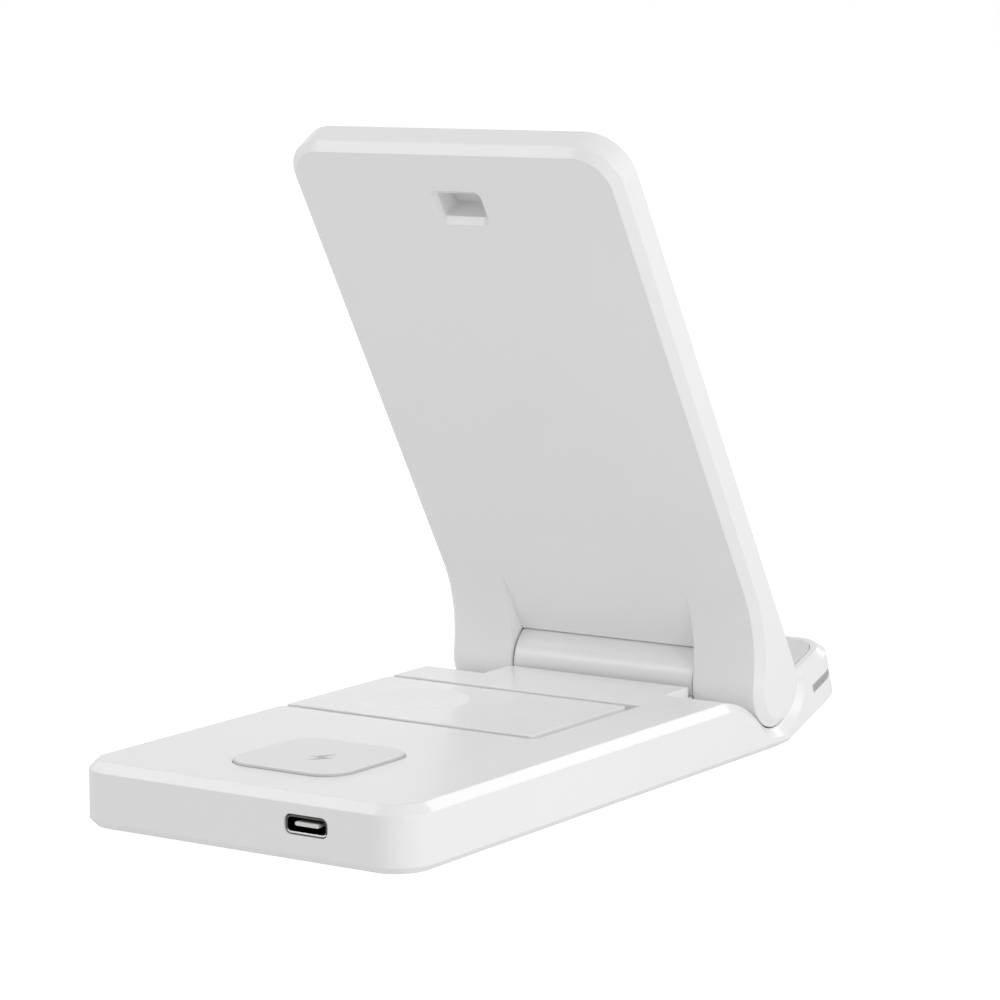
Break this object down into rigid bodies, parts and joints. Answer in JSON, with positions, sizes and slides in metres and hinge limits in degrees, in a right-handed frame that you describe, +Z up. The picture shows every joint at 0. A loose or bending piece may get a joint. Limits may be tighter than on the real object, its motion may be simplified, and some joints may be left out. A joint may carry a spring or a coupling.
{
  "type": "foldable wireless charging station",
  "caption": "Folding wireless charging stand: base with earbud pad, upturned phone lip and watch drawer, hinged leaning phone panel, and a USB-C inlet at the rear.",
  "frame": {"origin": "centre of the bounding box in plan, on the plane that the feet stand on", "axes": "+Z up, -Y towards the phone lip at the front, +Y towards the rear face with the USB-C inlet, +X towards the side where the watch drawer slides out"},
  "size_m": [0.075, 0.1562, 0.1255],
  "materials": {
    "shell_white": "white, softly glossy",
    "cover_white": "white, satin",
    "pad_white": "white soft pad, satin",
    "soft_grey": "pale grey silicone, matte",
    "foot_rubber": "dark grey rubber, matte",
    "smoked_guide": "smoke grey light guide, satin",
    "circuit_board": "green circuit board",
    "chip_package": "black component bodies",
    "port_steel": "plain steel receptacle shell",
    "port_tongue": "pale plastic tongue",
    "steel": "plain steel",
    "copper_wire": "enamelled copper winding",
    "ferrite": "dark ferrite sheet",
    "magnet_nickel": "nickel plated magnets",
    "cable_jacket": "black cable jacket"
  },
  "bodies": {
    "base": {"base_housing": "shell_white", "bottom_cover": "cover_white", "earbud_pad": "pad_white", "lip_pad": "soft_grey", "light_strip": "smoked_guide", "light_board": "circuit_board", "light_chips": "chip_package", "usb_c_shell": "port_steel", "usb_c_tongue": "port_tongue", "main_board": "circuit_board", "power_parts": "chip_package", "weight_plate": "steel", "earbud_coil": "copper_wire", "earbud_ferrite": "ferrite", "hinge_barrel": "shell_white", "friction_bush_left": "steel", "friction_bush_right": "steel", "base_cable": "cable_jacket", "base_screws": "steel", "barrel_screws": "steel", "foot_rear_left": "foot_rubber", "foot_rear_right": "foot_rubber", "foot_front_left": "foot_rubber", "foot_front_right": "foot_rubber"},
    "panel": {"panel_back_shell": "shell_white", "panel_front_cover": "cover_white", "phone_pad": "soft_grey", "phone_coil": "copper_wire", "phone_ferrite": "ferrite", "magnet_ring": "magnet_nickel", "panel_board": "circuit_board", "hinge_shaft_left": "steel", "hinge_shaft_right": "steel", "friction_discs_left": "steel", "friction_discs_right": "steel", "shaft_nut_left": "steel", "shaft_nut_right": "steel", "hinge_cable": "cable_jacket"},
    "watch_drawer": {"drawer_top": "shell_white", "drawer_tray": "cover_white", "watch_coil": "copper_wire", "watch_ferrite": "ferrite", "watch_magnet": "magnet_nickel", "drawer_board": "circuit_board", "drawer_screws": "steel"}
  },
  "joints": [
    {"name": "panel_fold", "type": "hinge", "parent": "base", "child": "panel", "pos_m": [0, -0.05145, 0.013], "axis": [1, 0, 0], "range_deg": [-58.6, 12]},
    {"name": "watch_drawer_slide", "type": "slide", "parent": "base", "child": "watch_drawer", "axis": [1, 0, 0], "range_m": [0, 0.04]}
  ]
}
